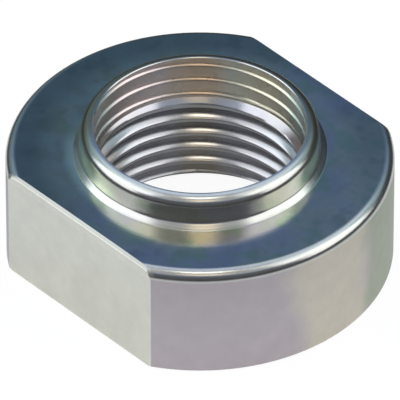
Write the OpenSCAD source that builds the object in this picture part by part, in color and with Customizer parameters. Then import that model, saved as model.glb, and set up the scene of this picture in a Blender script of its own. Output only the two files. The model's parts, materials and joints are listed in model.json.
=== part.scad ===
// Round lock nut with two spanner flats, a seat below and a raised collar round the bore above.
// The origin is the centre of the bore at the seat, and the flats face -Y and +Y.

/* [Body] */
// Diameter of the turned outside
body_d = 32; // [30:0.5:44]
// Distance across the two spanner flats
flats_w = 27; // [25:0.5:29]
// Height from the seat to the shoulder
body_h = 10.3; // [8:0.1:16]
// Radius on the upper outside edge
top_round = 0.9; // [0.3:0.1:1.5]
// Chamfer on the lower outside edge
seat_chamfer = 0.3; // [0.1:0.1:1]
// Broken edge along the top and the foot of each flat
flat_break = 0.2; // [0.05:0.05:0.5]

/* [Collar] */
// Height of the collar above the shoulder
collar_h = 2.7; // [2.2:0.1:5]
// Inward lean of the collar wall, in degrees
collar_lean = 6; // [0:1:15]
// Radius on the outside of the lip
lip_round = 1; // [0.4:0.1:1.5]
// Width of the flat land on the lip, between the round and the bore
lip_land = 0.07; // [0.05:0.01:0.4]
// Width and height of the sloping foot that carries the wall down to the shoulder
foot_flare = 0.45; // [0.2:0.05:0.6]

/* [Bore] */
// Nominal diameter of the thread
thread_d = 18; // [16:0.5:20]
// Pitch of the thread
pitch = 1.5; // [1:0.25:2]
// How far the relief inside the collar stays under the nominal diameter
relief_under = 0.7; // [0.3:0.05:0.9]
// Depth of the relief below the lip
relief_depth = 4.4; // [3:0.1:6]
// Chamfer at the mouth of the relief
mouth_chamfer = 0.1; // [0.05:0.01:0.3]
// How far the countersink at the seat opens past the nominal diameter
sink_over = 1; // [0.4:0.1:2]

/* [Hidden] */
$fn = 96;

// How far a cut reaches past the face that it opens
reach = 1;

total_h = body_h + collar_h;
body_r = body_d / 2;
flat_y = flats_w / 2;

// Radii in the bore: the thread's inside diameter is five eighths of its triangle deep on each side
minor_r = thread_d / 2 - pitch * cos(30) * 5 / 8;
relief_r = (thread_d - relief_under) / 2;
mouth_r = relief_r + mouth_chamfer;
sink_r = (thread_d + sink_over) / 2;

// Heights in the bore, where each cone lies at 45 degrees
sink_z = sink_r - minor_r;
relief_z = total_h - relief_depth;
step_z = relief_z - (relief_r - minor_r);
mouth_z = total_h - mouth_chamfer;

// The collar's lip round, and its wall down to the point where it would meet the shoulder
lip_centre = [mouth_r + lip_land, total_h - lip_round];
lip_touch = lip_centre + lip_round * [cos(collar_lean), sin(collar_lean)];
foot_r = lip_touch[0] + (lip_touch[1] - body_h) * tan(collar_lean);
crown_r = foot_r - collar_h * tan(collar_lean);

// What a round leaves of its corner, with the round's centre at the origin and the corner's side leaning in
module outside_corner(r, lean = 0) {
    difference() {
        polygon([[0, 0], 2 * r * [cos(lean), sin(lean)], [2 * r, 2 * r], [0, 2 * r]]);
        circle(r);
    }
}

// Half section of the body, from the axis outwards
module body_section() {
    difference() {
        square([body_r, body_h]);
        translate([body_r - top_round, body_h - top_round]) outside_corner(top_round);
        translate([body_r, 0]) rotate(45) square(seat_chamfer * sqrt(2), center = true);
    }
}

// Half section of the collar, rooted inside the body
module collar_section() {
    root_z = body_h - foot_flare;
    difference() {
        polygon([
            [0, root_z],
            [foot_r, root_z],
            [foot_r, body_h],
            [crown_r, total_h],
            [0, total_h]
        ]);
        translate(lip_centre) outside_corner(lip_round, collar_lean);
    }
    polygon([
        [foot_r - foot_flare, root_z],
        [foot_r + foot_flare, root_z],
        [foot_r + foot_flare, body_h],
        [foot_r - foot_flare * tan(collar_lean), body_h + foot_flare],
        [foot_r - foot_flare, body_h + foot_flare]
    ]);
}

// Half section of everything taken out along the axis
module bore_section() {
    polygon([
        [0, -reach],
        [sink_r + reach, -reach],
        [minor_r, sink_z],
        [minor_r, step_z],
        [relief_r, relief_z],
        [relief_r, mouth_z],
        [mouth_r + reach, total_h + reach],
        [0, total_h + reach]
    ]);
}

// Slab that the flats leave standing, with the long edges of its sides broken
module flats_slab() {
    side = [
        [flat_y - flat_break - reach, -reach],
        [flat_y, flat_break],
        [flat_y, body_h - flat_break],
        [flat_y - 2 * flat_break, body_h + flat_break],
        [flat_y - 2 * flat_break, total_h + reach]
    ];
    other_side = [for (i = [len(side) - 1:-1:0]) [-side[i][0], side[i][1]]];
    rotate([90, 0, 90]) linear_extrude(body_d + 2 * reach, center = true) polygon(concat(side, other_side));
}

module lock_nut() {
    color([0.72, 0.73, 0.72]) intersection() {
        rotate_extrude() difference() {
            union() {
                body_section();
                collar_section();
            }
            bore_section();
        }
        flats_slab();
    }
}

lock_nut();
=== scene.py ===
import json
import math

import bmesh
import bpy
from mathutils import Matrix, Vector


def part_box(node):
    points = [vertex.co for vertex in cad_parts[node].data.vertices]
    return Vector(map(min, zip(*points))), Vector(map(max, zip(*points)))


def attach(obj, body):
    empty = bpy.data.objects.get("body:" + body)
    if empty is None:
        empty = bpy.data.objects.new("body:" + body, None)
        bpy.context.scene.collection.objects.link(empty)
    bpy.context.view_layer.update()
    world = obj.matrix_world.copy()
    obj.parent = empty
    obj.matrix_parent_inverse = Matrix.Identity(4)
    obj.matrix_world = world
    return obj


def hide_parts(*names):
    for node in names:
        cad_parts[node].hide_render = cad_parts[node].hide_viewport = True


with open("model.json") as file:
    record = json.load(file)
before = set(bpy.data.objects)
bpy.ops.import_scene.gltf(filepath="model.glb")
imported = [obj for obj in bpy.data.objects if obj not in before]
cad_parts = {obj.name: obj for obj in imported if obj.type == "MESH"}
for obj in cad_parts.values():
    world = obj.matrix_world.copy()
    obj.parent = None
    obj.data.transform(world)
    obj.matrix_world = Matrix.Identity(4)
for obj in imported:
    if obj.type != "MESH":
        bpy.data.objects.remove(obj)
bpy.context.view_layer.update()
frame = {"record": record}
mm = 0.001
print("frame loaded")


class Wire:
    # a socket that can be used in sums
    def __init__(self, tree, socket=None):
        self.tree = tree
        self.socket = socket

    def node(self, kind, settings=None, sockets=None, output=0):
        made = self.tree.nodes.new(kind)
        for name, value in (settings or {}).items():
            if name == "stops":
                setStops(made.color_ramp, value)
            else:
                setattr(made, name, value)
        for name, value in (sockets or {}).items():
            if isinstance(value, Wire):
                self.tree.links.new(value.socket, made.inputs[name])
            else:
                made.inputs[name].default_value = value
        return Wire(self.tree, made.outputs[output] if len(made.outputs) else None)

    def other(self, name):
        return Wire(self.tree, self.socket.node.outputs[name])

    def maths(self, operation, *values):
        return self.node("ShaderNodeMath", {"operation": operation}, dict(enumerate(values)))

    def __add__(self, value):
        return self.maths("ADD", self, value)

    def __radd__(self, value):
        return self.maths("ADD", value, self)

    def __sub__(self, value):
        return self.maths("SUBTRACT", self, value)

    def __rsub__(self, value):
        return self.maths("SUBTRACT", value, self)

    def __mul__(self, value):
        return self.maths("MULTIPLY", self, value)

    def __rmul__(self, value):
        return self.maths("MULTIPLY", value, self)

    def __truediv__(self, value):
        return self.maths("DIVIDE", self, value)

    def __gt__(self, value):
        return self.maths("GREATER_THAN", self, value)


def setStops(ramp, stops):
    while len(ramp.elements) < len(stops):
        ramp.elements.new(0.5)
    for element, (place, colour) in zip(ramp.elements, stops):
        element.position = place
        element.color = (*colour, 1)


def least(wire, value):
    return wire.maths("MINIMUM", wire, value)


def most(wire, value):
    return wire.maths("MAXIMUM", wire, value)


def choose(mask, whenOff, whenOn):
    return (1 - mask) * whenOff + mask * whenOn


def ramped(wire, low, high):
    # 0 below low, 1 above high and soft between
    return wire.node("ShaderNodeMapRange", {"interpolation_type": "SMOOTHSTEP"},
                     {"Value": wire, "From Min": low, "From Max": high}, "Result")


def mixed(factor, first, second):
    return factor.node("ShaderNodeMix", {"data_type": "RGBA"}, {0: factor, 6: first, 7: second}, 2)


def grey(wire):
    return wire.node("ShaderNodeCombineColor", {}, {0: wire, 1: wire, 2: wire})


# finish: clear passivated zinc over turned steel, with some painted reflections and painted shade among the
# tints
plate = {
    "zinc": (0.74, 0.745, 0.71),
    "flat": (0.845, 0.84, 0.755),
    "edge": (0.6, 0.605, 0.56),
    "lilac": (0.66, 0.605, 0.64),
    "straw": (0.81, 0.755, 0.665),
    "olive": (0.57, 0.605, 0.505),
    "slate": (0.58, 0.565, 0.46),
    "teal": (0.375, 0.405, 0.275),
    "moss": (0.44, 0.51, 0.39),
    "navy": (0.235, 0.275, 0.235),
    # painted reflection: a pale halo on the shoulder next to the collar
    "haloReflection": (0.79, 0.84, 0.64),
    "indigo": (0.50, 0.485, 0.51),
    "thread": (0.66, 0.65, 0.68),
    # painted reflection of the warm lamp on the thread
    "warmLampGlint": (0.63, 0.595, 0.545),
    "mauve": (0.88, 0.76, 0.74),
    "boreGrey": (0.86, 0.87, 0.84),
    "boreGreen": (0.76, 0.86, 0.78),
    "lipOlive": (0.55, 0.49, 0.35),
    # painted reflection of the shaded floor inside the hole
    "shadedFloorBrown": (0.90, 0.69, 0.50),
    "boreOlive": (0.86, 0.83, 0.66),
    "tintSize": 6 * mm,
    "tintDrift": 0.5,             # radians by which the clouds move the limits of a tint
    "patchSize": 2.6 * mm,
    "mossPatch": (0.48, 0.66),    # levels of the patches at which a tint begins and is full
    "tealPatch": (0.75, 0.35),
    "navyPatch": (0.46, 0.34),
    "navyShares": (0.75, 0.45, 0.3),   # painted shade on the left and on the right, and mottling in patches
    "shoulderRoughness": 0.16,
    "collarRoughness": 0.22,
    "edgeRoughness": 0.22,
    "breakRoughness": 0.4,
    "sideRoughness": 0.55,
    "flatRoughness": 0.3,
    "boreRoughness": 0.2,
    "reliefRoughness": 0.28,
    "grainSize": 1.6 * mm,
    "grainShade": 0.22,           # how much the grain changes the tint and the roughness
    "turnedPitch": 0.35 * mm,
    "turnedDepth": 0.0003 * mm,
    "grainDepth": 0.0004 * mm,
}

# sizes of the nut, in metres
threadMount = next(m for m in frame["record"]["mounts"] if m["name"] == "thread")
nutLow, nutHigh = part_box("lock_nut")
nut = {
    "Outside Radius": nutHigh.x,
    "Flat Distance": nutHigh.y,
    "Shoulder Height": 10.3 * mm,
    "Total Height": nutHigh.z,
    "Top Round": 0.9 * mm,
    "Seat Chamfer": 0.15 * mm,
    "Edge Break": 0.24 * mm,      # along the top of each flat
    "Foot Break": 0.05 * mm,      # and along its foot
    "Pitch": 1.5 * mm,
    "Major Radius": 9 * mm,
    "Minor Radius": threadMount["dims"]["r_mm"] * mm,
    "Relief Radius": 8.74 * mm,
    "Relief Depth": 4.18 * mm,
    "Mouth Chamfer": 0.06 * mm,
    "Sink Radius": 9.5 * mm,
    "Thread Start": 0.896 * mm,
    "Crest Softness": 0.45 * mm,
    "Thread End": 0.12 * mm,      # height in which the thread stops at the step
    "Mark Depth": 0.19 * mm,      # spiral tool mark in the relief
    "Mark Softness": 0.28 * mm,
    "Mark Lift": 0.36 * mm,       # how far it lies above the line of the thread
    "Mark Start": 0.2 * mm,       # height above the step at which it begins
    "Step Slope": math.tan(math.radians(41)),
}
collar = {
    "lipLand": 0.02 * mm,
    "lipRound": 1.0 * mm,
    "lean": math.radians(6),
    "footFlare": 0.45 * mm,
    "flareSoftness": 0.35 * mm,   # round at the top of the flare
    "footSoftness": 0.15 * mm,    # and at its foot
}
nutMesh = {
    "columns": 320,
    "turnedShare": 51 / 80,       # share of a quarter's columns on its turned part
    "threadSteps": (0, 0.0625, 0.14, 0.2, 0.25, 0.3, 0.34, 0.38, 0.43),
    "reliefSteps": (0, 0.0625, 0.09, 0.115, 0.14, 0.165, 0.19, 0.22, 0.3),
    "mouthSteps": (0, 0.25),
    "roundSteps": (16, 5, 6, 14),   # round the lip, the flare, the foot and the upper edge
    "sideSteps": (0, 0.01, 0.2, 0.4, 0.6, 0.8, 0.99, 1),
    "breakShare": 0.8,            # share of a flat's depth that its broken edges may take
    "support": 0.08 * mm,         # loop that keeps a flat flat beside a round
    "weld": 0.001 * mm,
    "sharpAngle": math.radians(28),
}


# corner of a section as an arc between its two straight runs
def roundedCorner(before, corner, after, radius, steps):
    toBefore = (before - corner).normalized()
    toAfter = (after - corner).normalized()
    half = toBefore.angle(toAfter) / 2
    reach = radius / math.tan(half)
    centre = corner + (toBefore + toAfter).normalized() * radius / math.sin(half)
    start = corner + toBefore * reach - centre
    end = corner + toAfter * reach - centre
    sweep = math.pi - 2 * half
    arc = [corner + toBefore * (reach + nutMesh["support"])]
    for step in range(steps + 1):
        share = step / steps
        spoke = math.sin((1 - share) * sweep) * start + math.sin(share * sweep) * end
        arc.append(centre + spoke / math.sin(sweep))
    arc.append(corner + toAfter * (reach + nutMesh["support"]))
    return arc


# stations of the half section, each a radius and a height
def sectionStations():
    radius, height, top = nut["Outside Radius"], nut["Shoulder Height"], nut["Total Height"]
    mouth = nut["Relief Radius"] + nut["Mouth Chamfer"]
    lean, flare = math.tan(collar["lean"]), collar["footFlare"]
    crown = mouth + collar["lipLand"] + collar["lipRound"] / math.tan(math.pi / 4 + collar["lean"] / 2)
    foot = crown + (top - height) * lean
    chamfer = nut["Seat Chamfer"]
    stations = []

    def addThread(low, high, steps, lift=0):
        # helical lines through one stretch of the bore, held between its ends
        offsets = sorted([-s for s in steps if s] + list(steps) + [0.5])
        first = math.floor((low - nut["Thread Start"]) / nut["Pitch"]) - 2
        last = math.ceil((high - nut["Thread Start"]) / nut["Pitch"]) + 1
        for turn in range(first, last + 1):
            for offset in offsets:
                z = nut["Thread Start"] + lift + (turn + offset) * nut["Pitch"]
                stations.append({"place": (0, z), "threaded": 1, "low": low, "high": high, "side": -1})

    def addPlain(points):
        for point in points:
            stations.append({"place": tuple(point), "threaded": 0, "low": 0, "high": 0, "side": -1})

    sinkTop = nut["Sink Radius"] - nut["Minor Radius"]
    reliefLow = top - nut["Relief Depth"]
    stepLow = reliefLow - (nut["Relief Radius"] - nut["Minor Radius"]) / nut["Step Slope"]
    heights = [0, sinkTop, stepLow, stepLow + nut["Thread End"], reliefLow]
    for low, high in zip(heights, heights[1:]):
        addThread(low, high, nutMesh["threadSteps"])
    addThread(reliefLow, top - nut["Mouth Chamfer"], nutMesh["reliefSteps"], nut["Mark Lift"])
    addThread(top - nut["Mouth Chamfer"], top, nutMesh["mouthSteps"])

    corners = [Vector(p) for p in (
        (mouth, top), (crown, top), (foot - flare * lean, height + flare), (foot + flare, height),
        (radius, height), (radius, 0))]
    rounds = [collar["lipRound"], collar["flareSoftness"], collar["footSoftness"], nut["Top Round"]]
    for spot, (softness, steps) in enumerate(zip(rounds, nutMesh["roundSteps"]), start=1):
        arc = roundedCorner(corners[spot - 1], corners[spot], corners[spot + 1], softness, steps)
        addPlain(arc[1:] if spot == 1 else arc[:-1] if spot == 4 else arc)
    for share in nutMesh["sideSteps"]:
        stations.append({"place": (radius, height / 2), "threaded": 0, "low": 0, "high": 0, "side": share})
    addPlain([(radius, chamfer), (radius - chamfer, 0), (nut["Sink Radius"], 0)])
    return stations


def makeNutTree():
    tree = bpy.data.node_groups.new("turnedNut", "GeometryNodeTree")
    tree.interface.new_socket("Stations", in_out="INPUT", socket_type="NodeSocketGeometry")
    for name in nut:
        tree.interface.new_socket(name, in_out="INPUT", socket_type="NodeSocketFloat")
    tree.interface.new_socket("Columns", in_out="INPUT", socket_type="NodeSocketInt")
    tree.interface.new_socket("Finish", in_out="INPUT", socket_type="NodeSocketMaterial")
    tree.interface.new_socket("Nut", in_out="OUTPUT", socket_type="NodeSocketGeometry")
    given = Wire(tree).node("NodeGroupInput")
    size = {name: given.other(name) for name in nut}
    stations, columns = given.other("Stations"), given.other("Columns")

    # one grid: a column for each direction, a row for each station
    rows = given.node("GeometryNodeAttributeDomainSize", {"component": "MESH"},
                      {"Geometry": stations}, "Point Count")
    index = given.node("GeometryNodeInputIndex")
    column = (index / rows).maths("FLOOR", index / rows)
    row = index - column * rows
    grid = given.node("GeometryNodeMeshGrid", {}, {"Vertices X": columns + 1, "Vertices Y": rows}, "Mesh")

    def station(value, kind):
        return given.node("GeometryNodeSampleIndex", {"data_type": kind, "domain": "POINT"},
                          {"Geometry": stations, "Value": value, "Index": row})

    def stationValue(name):
        named = given.node("GeometryNodeInputNamedAttribute", {"data_type": "FLOAT"}, {"Name": name})
        return station(named, "FLOAT")

    place = station(given.node("GeometryNodeInputPosition"), "FLOAT_VECTOR")
    ownRadius = given.node("ShaderNodeSeparateXYZ", {}, {0: place}, "X")
    ownHeight = ownRadius.other("Z")
    threaded, low, high, side = (stationValue(n) for n in ("threaded", "low", "high", "side"))

    # direction of the column: the flats' corners fall on columns
    quarters = column / columns * 4
    quarter = quarters.maths("FLOOR", quarters)
    part = quarters - quarter
    odd = quarter.maths("MODULO", quarter, 2)
    along = choose(odd, part, 1 - part)
    share = nutMesh["turnedShare"]
    sine = size["Flat Distance"] / size["Outside Radius"]
    corner = sine.maths("ARCSINE", sine)
    bent = least(along / share, 1) * corner + most(along - share, 0) / (1 - share) * (math.pi / 2 - corner)
    angle = (quarter + odd) * (math.pi / 2) + (1 - 2 * odd) * bent

    def grooved(root, fromMiddle):
        # 60 degree groove with a flat root an eighth of the pitch wide
        return root - most(fromMiddle - 1 / 16, 0) * size["Pitch"] / math.tan(math.radians(30))

    # right-hand thread, cut off where the relief, the step and the countersink are wider
    lift = size["Pitch"] * angle / (2 * math.pi)
    boreHeight = least(most(ownHeight + lift, low), high)
    phase = (boreHeight - lift - size["Thread Start"]) / size["Pitch"]
    fromRoot = phase.maths("PINGPONG", phase, 0.5)
    groove = grooved(size["Major Radius"], fromRoot)
    thread = groove.maths("SMOOTH_MAX", groove, size["Minor Radius"], size["Crest Softness"])
    sinkTop = size["Sink Radius"] - size["Minor Radius"]
    reliefLow = size["Total Height"] - size["Relief Depth"]
    step = size["Relief Radius"] + (boreHeight - reliefLow) * size["Step Slope"]
    step = least(step, size["Relief Radius"])
    above = most(boreHeight - reliefLow, 0)
    stepLow = reliefLow - (size["Relief Radius"] - size["Minor Radius"]) / size["Step Slope"]
    past = most(boreHeight - stepLow, 0) / size["Thread End"]
    thread = least(thread, size["Major Radius"] - past * (size["Major Radius"] - size["Minor Radius"]))
    markPhase = phase - size["Mark Lift"] / size["Pitch"]
    fromMark = markPhase.maths("PINGPONG", markPhase, 0.5)
    mark = grooved(size["Relief Radius"] + size["Mark Depth"], fromMark)
    mark = least(mark, size["Relief Radius"] - size["Mark Start"] + above)
    step = step.maths("SMOOTH_MAX", mark, step, size["Mark Softness"])
    sink = size["Minor Radius"] + sinkTop - boreHeight
    mouth = size["Relief Radius"] + boreHeight - (size["Total Height"] - size["Mouth Chamfer"])
    boreRadius = most(most(thread, step), most(sink, mouth))

    # outside, cut back by the flats with their edges broken
    across = angle.maths("ABSOLUTE", angle.maths("SINE", angle))
    limit = size["Flat Distance"] / most(across, sine)
    depth = (size["Outside Radius"] - limit) * nutMesh["breakShare"]
    ease = least(depth, size["Edge Break"])
    footEase = least(depth, size["Foot Break"])
    over = most(limit - ease - (size["Outside Radius"] - size["Top Round"]), 0)
    under = most(size["Top Round"] * size["Top Round"] - over * over, 0)
    topEdge = size["Shoulder Height"] - size["Top Round"] + under.maths("SQRT", under)
    seatEdge = most(limit - footEase - (size["Outside Radius"] - size["Seat Chamfer"]), 0)
    onSide = side > -0.5
    isHigh = ownHeight > size["Shoulder Height"] / 2
    inner = limit - choose(isHigh, footEase, ease)
    sideHeight = choose(side, topEdge - ease, seatEdge + footEase)
    edgeHeight = choose(isHigh, seatEdge, topEdge)
    outHeight = choose(onSide, choose(ownRadius > inner, ownHeight, edgeHeight), sideHeight)
    outRadius = choose(onSide, least(ownRadius, inner), limit)

    radius = choose(threaded, outRadius, boreRadius)
    height = choose(threaded, outHeight, boreHeight)
    spot = given.node("ShaderNodeCombineXYZ", {}, {
        0: radius * angle.maths("COSINE", angle), 1: radius * angle.maths("SINE", angle), 2: height})
    shaped = given.node("GeometryNodeSetPosition", {}, {"Geometry": grid, "Position": spot})
    welded = given.node("GeometryNodeMergeByDistance", {},
                        {"Geometry": shaped, "Distance": nutMesh["weld"]})
    smooth = given.node("GeometryNodeSetShadeSmooth", {"domain": "FACE"},
                        {"Geometry": welded, "Shade Smooth": True})
    bend = given.node("GeometryNodeInputMeshEdgeAngle", {}, {}, "Unsigned Angle")
    sharp = bend > nutMesh["sharpAngle"]
    creased = given.node("GeometryNodeSetShadeSmooth", {"domain": "EDGE"},
                         {"Geometry": smooth, "Selection": sharp, "Shade Smooth": False})
    real = given.node("GeometryNodeRealizeInstances", {}, {"Geometry": creased})
    plated = given.node("GeometryNodeSetMaterial", {},
                        {"Geometry": real, "Material": given.other("Finish")})
    given.node("NodeGroupOutput", {}, {"Nut": plated})
    return tree


def makeNut(finish):
    stations = sectionStations()
    section = bpy.data.meshes.new("nutSection")
    section.from_pydata([(s["place"][0], 0, s["place"][1]) for s in stations], [], [])
    for name in ("threaded", "low", "high", "side"):
        values = section.attributes.new(name, "FLOAT", "POINT")
        values.data.foreach_set("value", [s[name] for s in stations])
    piece = bpy.data.objects.new("threadedNut", section)
    bpy.context.scene.collection.objects.link(piece)
    turning = piece.modifiers.new("turning", "NODES")
    turning.node_group = makeNutTree()
    values = {**nut, "Columns": nutMesh["columns"], "Finish": finish}
    for socket in turning.node_group.interface.items_tree:
        if socket.name in values:
            turning[socket.identifier] = values[socket.name]
    shown = piece.evaluated_get(bpy.context.evaluated_depsgraph_get())
    made = bpy.data.meshes.new_from_object(shown)
    piece.modifiers.remove(turning)
    piece.data = made
    bpy.data.meshes.remove(section)
    work = bmesh.new()
    work.from_mesh(made)
    bmesh.ops.recalc_face_normals(work, faces=work.faces)
    openEdges = sum(not e.is_manifold for e in work.edges)
    work.to_mesh(made)
    work.free()
    triangles = sum(len(p.vertices) - 2 for p in made.polygons)
    print("nut:", len(made.vertices), "points,", triangles, "triangles,", openEdges, "open edges")
    return piece


# where the finish changes, each from none to full, as a place or as a distance from the edge it belongs to
zones = {
    "topHeight": (-0.1 * mm, 0.2 * mm),
    "roundRadius": (-nut["Top Round"], -0.6 * nut["Top Round"]),
    "rimRadius": (-0.03 * mm, -0.06 * mm),
    "boreRadius": (9.06 * mm, 9 * mm),
    "mouthHeight": (-0.04 * mm, -0.12 * mm),
    "reliefHeight": (-0.1 * mm, 0.1 * mm),
    "lipRadius": (8.78 * mm, 8.9 * mm),
    "lipHeight": (1.9 * mm, 2.2 * mm),
    "shoulderRadius": (10.2 * mm, 10.6 * mm),
    "haloReflectionRadius": (11.6 * mm, 10.4 * mm),
    "navyRadius": (11.6 * mm, 14.2 * mm),
    "sideRadius": (13 * mm, 13.4 * mm),
    "flatDepth": (-0.04 * mm, -0.01 * mm),
    "edgeDepth": (-1.1 * nut["Edge Break"], -0.9 * nut["Edge Break"]),
}
# direction of each tint round the axis, in degrees: its middle, full within, gone beyond
tintPlaces = {
    "teal": (287, 40, 110),
    "navyShadeLeft": (280, 50, 100),
    "navyShadeRight": (170, 20, 60),
    "haloReflection": (334, 12, 42),
    "straw": (92, 8, 22),
    "olive": (122, 10, 20),
    "boreGreen": (137, 50, 90),
    "mauve": (262, 10, 36),
    "boreOlive": (192, 10, 36),
    "shadedFloorBrown": (227, 3, 24),
    "lipOlive": (227, 85, 120),
    "warmLampGlint": (227, 3, 18),
}


def zone(wire, name, edge=0):
    low, high = zones[name]
    return ramped(wire, edge + low, edge + high)


def tinted(mask, under, name):
    return mixed(mask, under, (*plate[name], 1))


def makeZincPlate():
    material = bpy.data.materials.new("zincPlate")
    material.use_nodes = True
    tree = material.node_tree
    tree.nodes.clear()
    coords = Wire(tree).node("ShaderNodeTexCoord", {}, {}, "Object")
    x = coords.node("ShaderNodeSeparateXYZ", {}, {0: coords}, "X")
    y, z = x.other("Y"), x.other("Z")
    squared = x * x + y * y
    radius = squared.maths("SQRT", squared)

    def cloudy(size, detail, roughness):
        return coords.node("ShaderNodeTexNoise", {"noise_dimensions": "3D"},
                           {"Vector": coords, "Scale": 1 / size, "Detail": detail, "Roughness": roughness})

    # parts of the surface
    height, top = nut["Shoulder Height"], nut["Total Height"]
    onTop = zone(z, "topHeight", height - nut["Top Round"])
    onRound = onTop * zone(radius, "roundRadius", nut["Outside Radius"])
    inBore = zone(radius, "boreRadius") * zone(z, "mouthHeight", top)
    inRelief = inBore * zone(z, "reliefHeight", top - nut["Relief Depth"])
    onLip = zone(z, "lipHeight", height) * zone(radius, "lipRadius")
    onShoulder = onTop * zone(radius, "shoulderRadius") * (1 - onRound)
    out = y.maths("ABSOLUTE", y)
    onFlat = zone(out, "flatDepth", nut["Flat Distance"])
    onEdge = zone(out, "edgeDepth", nut["Flat Distance"]) * (1 - onFlat)
    onEdge = onEdge * zone(radius, "rimRadius", nut["Outside Radius"])
    onSide = (1 - onTop) * (1 - onFlat) * zone(radius, "sideRadius")

    # faint tints that drift over the plating, with painted reflections and painted shade among them
    cloud = cloudy(plate["tintSize"], detail=2, roughness=0.5)
    patch = cloudy(plate["patchSize"], detail=2, roughness=0.6)

    def towards(name):
        # 1 in the tint's direction from the axis
        middle, near, far = (math.radians(v) for v in tintPlaces[name])
        cosine = (x * math.sin(middle) - y * math.cos(middle)) / radius
        away = cosine.maths("ARCCOSINE", cosine) + (cloud - 0.5) * plate["tintDrift"]
        return ramped(away, far, near)

    topTintAndPaintedLight = cloud.node("ShaderNodeValToRGB",
                         {"stops": [(0.4, plate["slate"]), (0.6, plate["indigo"])]}, {0: cloud})
    topTintAndPaintedLight = tinted(ramped(patch, *plate["mossPatch"]), topTintAndPaintedLight, "moss")
    topTintAndPaintedLight = tinted(towards("teal") * ramped(patch, *plate["tealPatch"]), topTintAndPaintedLight, "teal")
    # navy darkens the outer shoulder around 280 and 170 degrees as painted shade, and in patches as mottling
    # of the plating
    left, right, spots = plate["navyShares"]
    navy = towards("navyShadeLeft") * left + towards("navyShadeRight") * right
    navy = navy + ramped(patch, *plate["navyPatch"]) * spots
    topTintAndPaintedLight = tinted(least(navy, 1) * zone(radius, "navyRadius"), topTintAndPaintedLight, "navy")
    # painted reflection: the shoulder is paler next to the collar around 334 degrees
    topTintAndPaintedLight = tinted(towards("haloReflection") * zone(radius, "haloReflectionRadius"), topTintAndPaintedLight, "haloReflection")
    sideTint = tinted(towards("straw"), (*plate["lilac"], 1), "straw")
    sideTint = tinted(towards("olive"), sideTint, "olive")
    boreTintAndReflection = (*plate["boreGrey"], 1)
    # the brown tint near 227 degrees in the relief is a painted reflection of the shaded floor in the hole
    for name in ("boreGreen", "mauve", "boreOlive", "shadedFloorBrown"):
        boreTintAndReflection = tinted(towards(name), boreTintAndReflection, name)
    lipTint = tinted(towards("lipOlive"), (*plate["zinc"], 1), "lipOlive")
    # the warm tint on the thread near 227 degrees is a painted reflection of the warm lamp
    threadTintAndGlint = tinted(towards("warmLampGlint"), (*plate["thread"], 1), "warmLampGlint")
    tint = mixed(onLip, (*plate["zinc"], 1), lipTint)
    tint = mixed(onShoulder, tint, topTintAndPaintedLight)
    tint = tinted(onFlat, tint, "flat")
    tint = mixed(onSide, tint, sideTint)
    tint = tinted(onEdge, tint, "edge")
    tint = mixed(inBore, tint, threadTintAndGlint)
    tint = mixed(inRelief, tint, boreTintAndReflection)

    # gloss of each part, and a grain over all of them
    rough = choose(onFlat, plate["sideRoughness"], plate["flatRoughness"])
    rough = choose(onRound, rough, plate["edgeRoughness"])
    rough = choose(onTop * (1 - onRound), rough, plate["collarRoughness"])
    rough = choose(onShoulder, rough, plate["shoulderRoughness"])
    rough = choose(onEdge, rough, plate["breakRoughness"])
    rough = choose(inBore, rough, plate["boreRoughness"])
    rough = choose(inRelief, rough, plate["reliefRoughness"])
    grain = cloudy(plate["grainSize"], detail=3, roughness=0.55)
    shade = 1 + (grain - 0.5) * plate["grainShade"]
    tint = coords.node("ShaderNodeMix", {"data_type": "RGBA", "blend_type": "MULTIPLY"},
                       {0: 1.0, 6: tint, 7: grey(shade)}, 2)
    rough = rough * shade

    # turned lines run round the nut on the shoulder and on the walls
    ring = (radius - z) * (2 * math.pi / plate["turnedPitch"])
    lines = ring.maths("SINE", ring) * plate["turnedDepth"] * (1 - inBore)
    marks = lines + (grain - 0.5) * plate["grainDepth"]
    relief = coords.node("ShaderNodeBump", {}, {"Strength": 1.0, "Distance": 1.0, "Height": marks})
    shader = coords.node("ShaderNodeBsdfPrincipled", {},
                         {"Base Color": tint, "Metallic": 1.0, "Roughness": rough, "Normal": relief})
    coords.node("ShaderNodeOutputMaterial", {}, {"Surface": shader})
    return material


# studio
shot = {
    "azimuth": math.radians(47.09),
    "elevation": math.radians(39.62),
    "lens": 1000,
    "sensor": 36,
    "imageSize": 400,
    "pixelsPerRadius": 194.11,
    "axisDrop": 1.86,             # pixels from the picture's middle up to the body's
}
studio = {
    "floorRadius": 0.9,
    "floorRim": 0.05,
    "floorSides": 96,
    "floorGlow": 1.08,
    "seenShare": 0.86,            # share of the glow that the camera sees
    "mirroredShare": 0.3,         # and that the metal mirrors, near the nut
    "glowStart": (8.8 * mm, 11 * mm),   # distances at which the floor begins to glow in the metal
    "glowEnd": (28 * mm, 56 * mm),      # and at which the glow gives way to the far colour
    "farShade": 0.94,             # share of the far colour that the metal mirrors there
    "floorColour": (0.85, 0.85, 0.84),
    "farColour": (0.05, 0.05, 0.05),
    "backRoom": (0.121, 0.198, 0.345),
    "frontRoom": (0.1, 0.098, 0.11),
    "frontBand": (0.115, 0.17, 0.27),   # half way up, which the shoulder mirrors from behind
    "sideRoom": (0.3, 0.43, 0.46),
    "lowRight": (0.045, 0.06, 0.078),   # towards the horizon behind the nut
    "lowLeft": (0.135, 0.2, 0.225),
    "sideTurn": (0.3, 0.7),       # where a room begins and is full, as part of a unit direction
    "frontTurn": (0.3, -0.3),
    "lowTurn": (-0.3, 0),
    "lowRise": (0.55, 0.3),
    "bandFoot": (0.48, 0.58),
    "bandHead": (0.72, 0.62),
}
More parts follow.
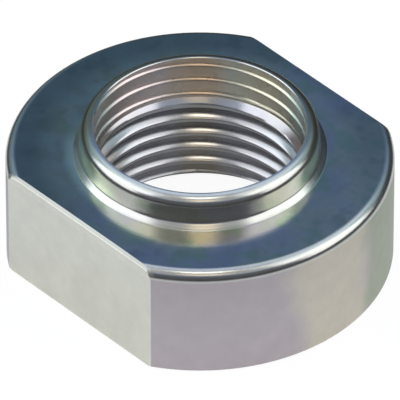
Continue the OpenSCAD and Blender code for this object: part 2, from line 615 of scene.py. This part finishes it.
# lamps: degrees to the right of the camera and up, metres away, degrees of tilt, metres wide and high
softboxes = {
    "rightLow": {"aside": 81.5, "up": 23.3, "away": 0.327, "tilt": 0,
                 "size": (0.261, 0.131), "glow": 1.25, "colour": (1, 0.99, 0.96)},
    "rightSoftbox": {"aside": 76.5, "up": 45.4, "away": 0.427, "tilt": 0,
                     "size": (0.326, 0.218), "glow": 1.25, "colour": (1, 0.99, 0.96)},
    "rightUpper": {"aside": 76.5, "up": 64.1, "away": 0.687, "tilt": 0,
                   "size": (0.326, 0.411), "glow": 0.62, "colour": (1, 0.99, 0.96)},
    "leftLow": {"aside": -84, "up": 23.3, "away": 0.327, "tilt": 0,
                "size": (0.293, 0.131), "glow": 1.25, "colour": (0.98, 0.99, 1)},
    "leftSoftbox": {"aside": -79, "up": 45.4, "away": 0.427, "tilt": 0,
                    "size": (0.36, 0.218), "glow": 1.25, "colour": (0.98, 0.99, 1)},
    "leftUpper": {"aside": -79, "up": 64.1, "away": 0.687, "tilt": 0,
                  "size": (0.36, 0.411), "glow": 0.62, "colour": (0.98, 0.99, 1)},
    "warmLamp": {"aside": 3.5, "up": 51.5, "away": 0.4, "tilt": 51.5,
                 "size": (0.12, 0.077), "glow": 1.1, "colour": (1, 0.77, 0.46)},
    "paleLamp": {"aside": 4, "up": 77, "away": 0.4, "tilt": 77,
                 "size": (0.1, 0.085), "glow": 2.5, "colour": (1, 0.94, 0.82)},
    "ceiling": {"aside": 0, "up": 77, "away": 0.462, "tilt": 89,
                "size": (0.72, 0.85), "glow": 0.27, "colour": (0.95, 1, 1)},
    "backSoftbox": {"aside": 180, "up": 66, "away": 0.4, "tilt": 66,
                    "size": (0.6, 0.2), "glow": 0.3, "colour": (1, 1, 1)},
}


def fromCamera(aside, up):
    turn = shot["azimuth"] + math.radians(aside)
    rise = math.radians(up)
    return Vector((math.sin(turn) * math.cos(rise), -math.cos(turn) * math.cos(rise), math.sin(rise)))


def makeLamps():
    for name, lamp in softboxes.items():
        data = bpy.data.lights.new(name, "AREA")
        data.shape = "RECTANGLE"
        data.size, data.size_y = lamp["size"]
        data.energy = lamp["glow"] * math.pi * data.size * data.size_y
        data.color = lamp["colour"]
        box = bpy.data.objects.new(name, data)
        box.location = fromCamera(lamp["aside"], lamp["up"]) * lamp["away"]
        box.rotation_euler = fromCamera(lamp["aside"], lamp["tilt"]).to_track_quat("Z", "Y").to_euler()
        box.visible_camera = False
        bpy.context.scene.collection.objects.link(box)


def makeWorld():
    world = bpy.data.worlds.new("dimRoom")
    world.use_nodes = True
    tree = world.node_tree
    tree.nodes.clear()
    way = Wire(tree).node("ShaderNodeTexCoord", {}, {}, "Generated")

    def along(aside):
        return way.node("ShaderNodeVectorMath", {"operation": "DOT_PRODUCT"},
                        {0: way, 1: fromCamera(aside, 0)}, "Value")

    behind, beside = along(180), along(90)
    rise = way.node("ShaderNodeSeparateXYZ", {}, {0: way}, "Z")
    toSide = ramped(beside.maths("ABSOLUTE", beside), *studio["sideTurn"])
    colour = mixed(toSide, (*studio["backRoom"], 1), (*studio["sideRoom"], 1))
    toRight = ramped(beside, *studio["lowTurn"])
    dusk = mixed(toRight, (*studio["lowLeft"], 1), (*studio["lowRight"], 1))
    colour = mixed(ramped(rise, *studio["lowRise"]), colour, dusk)
    band = ramped(rise, *studio["bandFoot"]) * ramped(rise, *studio["bandHead"])
    front = mixed(band, (*studio["frontRoom"], 1), (*studio["frontBand"], 1))
    colour = mixed(ramped(behind, *studio["frontTurn"]), colour, front)
    back = way.node("ShaderNodeBackground", {}, {"Color": colour, "Strength": 1.0})
    back.node("ShaderNodeOutputWorld", {}, {"Surface": back})
    bpy.context.scene.world = world


def makeFloor():
    material = bpy.data.materials.new("paleFloor")
    material.use_nodes = True
    tree = material.node_tree
    tree.nodes.clear()
    ray = Wire(tree).node("ShaderNodeLightPath", {}, {}, "Is Camera Ray")
    mirrored = most(ray.other("Is Glossy Ray"), ray.other("Is Transmission Ray"))
    coords = ray.node("ShaderNodeTexCoord", {}, {}, "Object")
    radius = ray.node("ShaderNodeVectorMath", {"operation": "LENGTH"}, {0: coords}, "Value")
    far = ramped(radius, *studio["glowEnd"])
    near = ramped(radius, *studio["glowStart"]) * (1 - far)
    share = ray * studio["seenShare"] + mirrored * near * studio["mirroredShare"]
    paint = ray.node("ShaderNodeBsdfDiffuse", {}, {"Color": (*studio["floorColour"], 1)})
    shade = ray.node("ShaderNodeBsdfDiffuse", {}, {"Color": (*studio["farColour"], 1)})
    # far from the nut the metal mirrors the dark far colour instead of the lit floor: painted shade, seen
    # only in reflections, while the camera still sees the floor pale
    farShare = mirrored * far * studio["farShade"]
    paint = ray.node("ShaderNodeMixShader", {}, {0: farShare, 1: paint, 2: shade})
    glow = ray.node("ShaderNodeEmission", {}, {"Strength": studio["floorGlow"]})
    both = ray.node("ShaderNodeMixShader", {}, {0: share, 1: paint, 2: glow})
    ray.node("ShaderNodeOutputMaterial", {}, {"Surface": both})
    work = bmesh.new()
    bmesh.ops.create_circle(work, cap_ends=True, radius=studio["floorRadius"], segments=studio["floorSides"])
    rim = bmesh.ops.extrude_edge_only(work, edges=[e for e in work.edges if e.is_boundary])["geom"]
    for point in (g for g in rim if isinstance(g, bmesh.types.BMVert)):
        point.co.z += studio["floorRim"]
    mesh = bpy.data.meshes.new("paleFloor")
    work.to_mesh(mesh)
    work.free()
    mesh.materials.append(material)
    floor = bpy.data.objects.new("paleFloor", mesh)
    bpy.context.scene.collection.objects.link(floor)


def makeCamera():
    data = bpy.data.cameras.new("camera")
    data.lens, data.sensor_width = shot["lens"], shot["sensor"]
    camera = bpy.data.objects.new("camera", data)
    pixelsPerMetre = shot["pixelsPerRadius"] / nut["Outside Radius"]
    distance = shot["lens"] / shot["sensor"] * shot["imageSize"] / pixelsPerMetre
    back = fromCamera(0, math.degrees(shot["elevation"]))
    rotation = (-back).to_track_quat("-Z", "Y")
    upwards = rotation @ Vector((0, 1, 0))
    target = Vector((0, 0, nut["Shoulder Height"] / 2)) - upwards * shot["axisDrop"] / pixelsPerMetre
    camera.location = target + back * distance
    camera.rotation_euler = rotation.to_euler()
    bpy.context.scene.collection.objects.link(camera)
    bpy.context.scene.camera = camera


zincPlate = makeZincPlate()
threadedNut = makeNut(zincPlate)
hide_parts("lock_nut")
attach(threadedNut, "root")

makeFloor()
makeLamps()
makeWorld()
makeCamera()
bpy.context.scene.view_settings.view_transform = "Standard"
print("studio ready")
